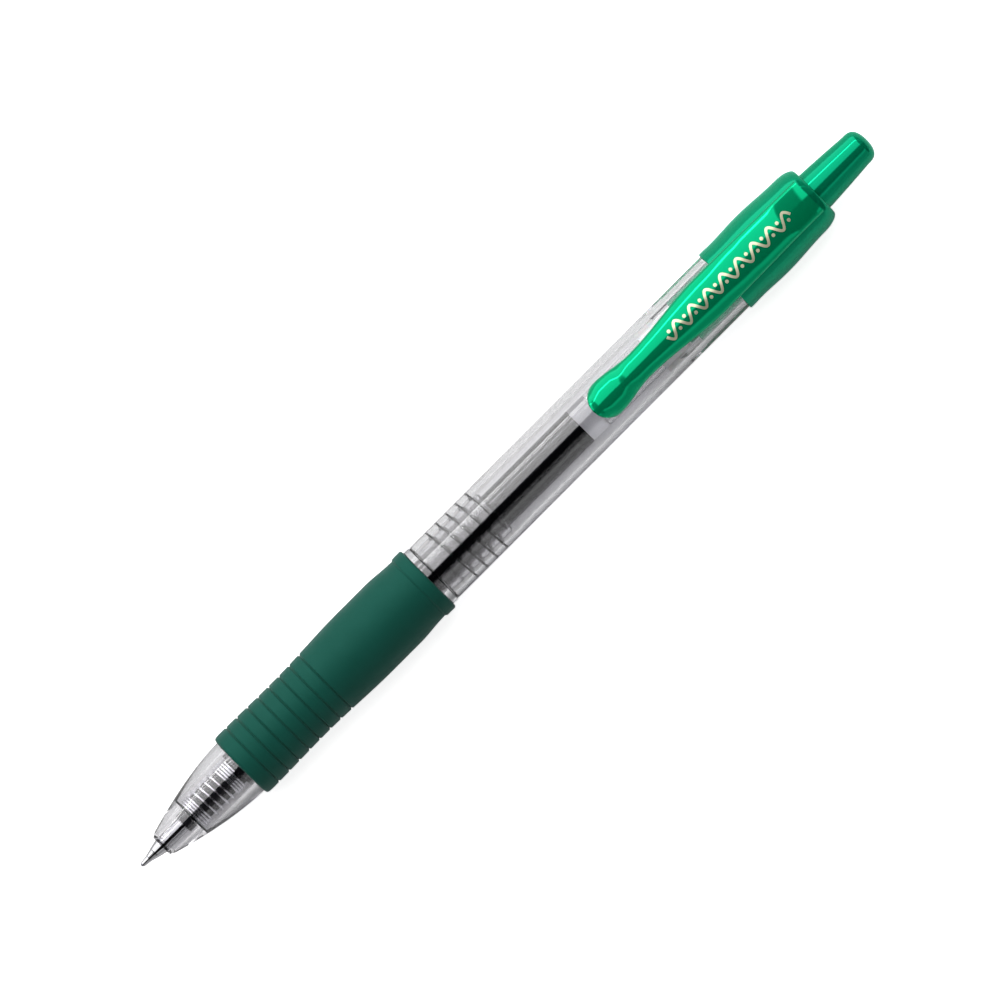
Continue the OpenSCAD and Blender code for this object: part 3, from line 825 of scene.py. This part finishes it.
# ---- refill: tube, ink with its hollow end, and the grease plug behind it
tube = revolve("ink_tube", rounded(
    [[TUBE_S, TUBE_BORE, 0.05], [TUBE_S, TUBE_R, 0.12], [TUBE_END, TUBE_R, 0.12],
     [TUBE_END, TUBE_BORE, 0.05]]))
dress(tube, "tube_plastic", "refill", ["refill_tube"])

share = np.linspace(0, 1, 12)
ink_end = np.stack([INK_END - MENISCUS * (1 - (1 - share) ** 3), WET_R * (1 - share), 0 * share], axis=1)
ink = revolve("ink", rounded([[HOLDER_END - 0.6, 0, 0], [HOLDER_END - 0.6, WET_R, 0]] + ink_end.tolist()))
dress(ink, "black_ink", "refill", ["ink_column"])

share = np.linspace(0, 1, 10)
plug_front = np.stack([INK_END - MENISCUS * (1 - share ** 3) + 0.03, WET_R * share, 0 * share], axis=1)
plug_rear = np.stack([FOLLOWER_END - GREASE_DISH * (1 - (1 - share) ** 3),
                      WET_R * (1 - share), 0 * share], axis=1)
follower = revolve("grease_plug", rounded(plug_front.tolist() + plug_rear.tolist()))
dress(follower, "follower_grease", "refill", ["grease_follower"])

# ---- refill's point: black holder, turned metal cone and ball
holder = revolve("point_holder", rounded(
    [[COLLAR_S, POINT_R - 0.1, 0], [COLLAR_S, COLLAR_R, 0.12], [SEAT_S + 1.4, COLLAR_R, 0.05],
     [SEAT_S + 1.8, HOLDER_R, 0.15], [TUBE_S - 0.02, HOLDER_R, 0.02], [TUBE_S + 0.02, WET_R, 0.02],
     [HOLDER_END - 0.3, WET_R, 0.1], [HOLDER_END, INK_R - 0.3, 0.05], [HOLDER_END, INLET_R, 0.03],
     [COLLAR_S + 2, INLET_R, 0.03], [COLLAR_S + 2, POINT_R - 0.1, 0]]))
dress(holder, "smoke_plastic", "refill", ["tip_holder"])

point = revolve("metal_tip", rounded(
    [[0.3, POINT_BORE_R, 0], [0.3, BALL_R + 0.02, 0.02], [0.75, BALL_R + 0.1, 0.1],
     [1.5, POINT_R * 0.46, 0.1], [1.54, POINT_R * 0.49, 0.02], [2.6, POINT_R * 0.74, 0.1],
     [2.64, POINT_R * 0.76, 0.02], [3.8, POINT_R, 0.15],
     [COLLAR_S - 0.02, POINT_R, 0.05], [COLLAR_S - 0.02, SHANK_R, 0],
     [COLLAR_S + 2, SHANK_R, 0.1], [COLLAR_S + 2, POINT_BORE_R, 0]]), 72)
dress(point, "point_metal", "refill", ["metal_point"])

half_circle = np.linspace(0, np.pi, 40)
ball_outline = np.stack([BALL_R - BALL_R * np.cos(half_circle), BALL_R * np.sin(half_circle)], axis=1)
ball = revolve("carbide_ball", ball_outline, 64, closed=False)
dress(ball, "ball_metal", "refill", ["writing_ball"])

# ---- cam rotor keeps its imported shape
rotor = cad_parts["rotor_cam"]
rotor.data.materials.clear()
rotor.data.materials.append(MATERIALS["natural_plastic"])

# ---- floor: a plain pale sheet, a little brighter to the eye than the light on it makes it; in metres
FLOOR_HALF = 2.5
FLOOR_GLOW = 0.8
corners = np.array([[-1, -1, 0], [1, -1, 0], [1, 1, 0], [-1, 1, 0]]) * FLOOR_HALF + [0, 0, CAD_BOX[0][2]]
floor_mesh = bpy.data.meshes.new("floor")
floor_mesh.from_pydata(corners.tolist(), [], [(0, 1, 2, 3)])
floor = bpy.data.objects.new("floor", floor_mesh)
bpy.context.scene.collection.objects.link(floor)
paper = finish("floor_paper", (0.9, 0.9, 0.9), (0.89, 0.89, 0.89), smooth_to_dull=(0.8, 0.9), grain=700,
               Specular_IOR_Level=0.1)
paper_nodes, paper_links = paper.node_tree.nodes, paper.node_tree.links
paper_ray = paper_nodes.new("ShaderNodeLightPath")
glow = paper_nodes.new("ShaderNodeMath")
glow.operation = "MULTIPLY"
glow.inputs[1].default_value = FLOOR_GLOW
paper_links.new(paper_ray.outputs["Is Camera Ray"], glow.inputs[0])
paper_links.new(glow.outputs[0], paper_nodes["Principled BSDF"].inputs["Emission Strength"])
paper_nodes["Principled BSDF"].inputs["Emission Color"].default_value = (1, 1, 1, 1)
floor.data.materials.append(paper)

# ---- camera, looking down on the pen with its clip up, the pen running to the upper right; in metres
FIELD = 0.1389
LENS = 500
SENSOR = 36
ROLL = np.radians(45.06)
TILT = np.radians(1.5)
LEFT_OF_MIDDLE = 0.000556
OVER_MIDDLE = 0.000375
back = Vector((0, -np.sin(TILT), np.cos(TILT)))
level_right = Vector((np.cos(ROLL), -np.sin(ROLL), 0))
right = (level_right - level_right.dot(back) * back).normalized()
up = back.cross(right)
pen_middle = Vector(((CAD_BOX[0][0] + CAD_BOX[1][0]) / 2, AXIS_Y, AXIS_Z))
camera_data = bpy.data.cameras.new("camera")
camera_data.lens = LENS
camera_data.sensor_width = SENSOR
camera = bpy.data.objects.new("camera", camera_data)
bpy.context.scene.collection.objects.link(camera)
stand = Matrix((right, up, back)).transposed().to_4x4()
stand.translation = pen_middle - right * LEFT_OF_MIDDLE + up * OVER_MIDDLE + back * (FIELD * LENS / SENSOR)
camera.matrix_world = stand
bpy.context.scene.camera = camera

# ---- studio light: a sky of soft boxes that run along the pen. Each stop is an angle round the pen's axis,
# in degrees from straight up, and the sky's radiance there
LIGHT_SCALE = 10
SKY = [
    (-180, 0.35), (-100, 0.4), (-90, 0.6), (-76, 0.65), (-70, 0.5), (-53, 0.5), (-48, 0.9), (-40, 0.9),
    (-36, 0.02), (-27, 0.004), (4, 0.004), (6, 2.0),
    (47, 2.5), (48.5, 10.5), (52, 10.5), (53.5, 2.3), (90, 2.6), (120, 2.2), (180, 0.5)]


def grey(radiance):
    """Colour that the background's strength turns into an even grey of this radiance."""
    return (radiance / LIGHT_SCALE, radiance / LIGHT_SCALE, radiance / LIGHT_SCALE, 1)


def studio_sky():
    """World light: the angle round the pen's axis picks a radiance from a ramp, and the light falls off
    towards both ends of the axis. The eye itself sees a plain pale backdrop."""
    world = bpy.data.worlds.new("studio")
    bpy.context.scene.world = world
    world.use_nodes = True
    nodes, links = world.node_tree.nodes, world.node_tree.links
    background = nodes["Background"]
    where = nodes.new("ShaderNodeTexCoord")
    split = nodes.new("ShaderNodeSeparateXYZ")
    links.new(where.outputs["Generated"], split.inputs[0])
    angle = nodes.new("ShaderNodeMath")
    angle.operation = "ARCTAN2"
    links.new(split.outputs["Y"], angle.inputs[0])
    links.new(split.outputs["Z"], angle.inputs[1])
    share = nodes.new("ShaderNodeMapRange")
    share.inputs["From Min"].default_value = -np.pi
    share.inputs["From Max"].default_value = np.pi
    links.new(angle.outputs[0], share.inputs["Value"])
    ramp = nodes.new("ShaderNodeValToRGB")
    for k, (degrees, value) in enumerate(SKY):
        where_on = (degrees + 180) / 360
        stop = ramp.color_ramp.elements[k] if k < 2 else ramp.color_ramp.elements.new(where_on)
        stop.position = where_on
        stop.color = grey(value)
    links.new(share.outputs["Result"], ramp.inputs["Fac"])
    size = nodes.new("ShaderNodeMath")
    size.operation = "ABSOLUTE"
    links.new(split.outputs["X"], size.inputs[0])
    fall = nodes.new("ShaderNodeMapRange")
    fall.interpolation_type = "SMOOTHSTEP"
    for label, value in (("From Min", 0.5), ("From Max", 0.6), ("To Min", 1), ("To Max", 0.12)):
        fall.inputs[label].default_value = value
    links.new(size.outputs[0], fall.inputs["Value"])
    boxes = nodes.new("ShaderNodeMix")
    boxes.data_type = "RGBA"
    boxes.blend_type = "MULTIPLY"
    boxes.inputs["Factor"].default_value = 1
    links.new(ramp.outputs["Color"], boxes.inputs["A"])
    links.new(fall.outputs["Result"], boxes.inputs["B"])
    ray = nodes.new("ShaderNodeLightPath")
    seen = nodes.new("ShaderNodeMix")
    seen.data_type = "RGBA"
    seen.inputs["B"].default_value = grey(1)
    links.new(ray.outputs["Is Camera Ray"], seen.inputs["Factor"])
    links.new(boxes.outputs["Result"], seen.inputs["A"])
    links.new(seen.outputs["Result"], background.inputs["Color"])
    background.inputs["Strength"].default_value = LIGHT_SCALE


studio_sky()
bpy.context.scene.view_settings.view_transform = "Standard"
